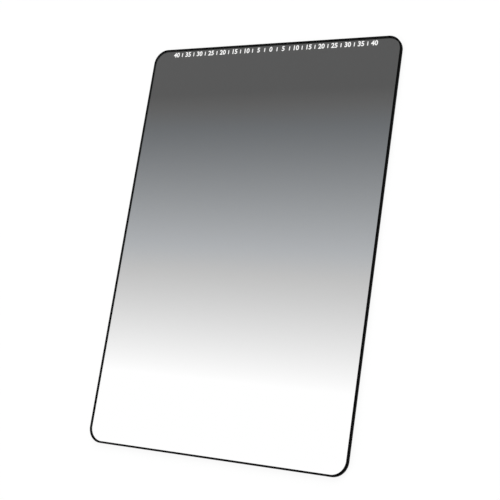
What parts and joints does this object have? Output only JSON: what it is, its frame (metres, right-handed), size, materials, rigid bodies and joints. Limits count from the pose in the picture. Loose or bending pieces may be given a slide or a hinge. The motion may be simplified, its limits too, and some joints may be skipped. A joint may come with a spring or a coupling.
{
  "type": "graduated neutral density filter",
  "caption": "Rectangular slot-in glass camera filter with rounded corners, a blackened ground edge and a grey tint that fades from dark to clear along its length.",
  "frame": {"origin": "centre of the back face, at the bottom of the plate as it lies", "axes": "+Y along the length towards the dark end, +X across the width, +Z out of the front face"},
  "size_m": [0.1, 0.15, 0.002],
  "materials": {
    "graded_glass": "polished and coated, with a grey tint that fades along the plate",
    "edge_black": "ground glass edge under matt black lacquer",
    "white_print": "screen-printed white enamel"
  },
  "bodies": {
    "root": {"filter_plate": "graded_glass"}
  },
  "joints": []
}
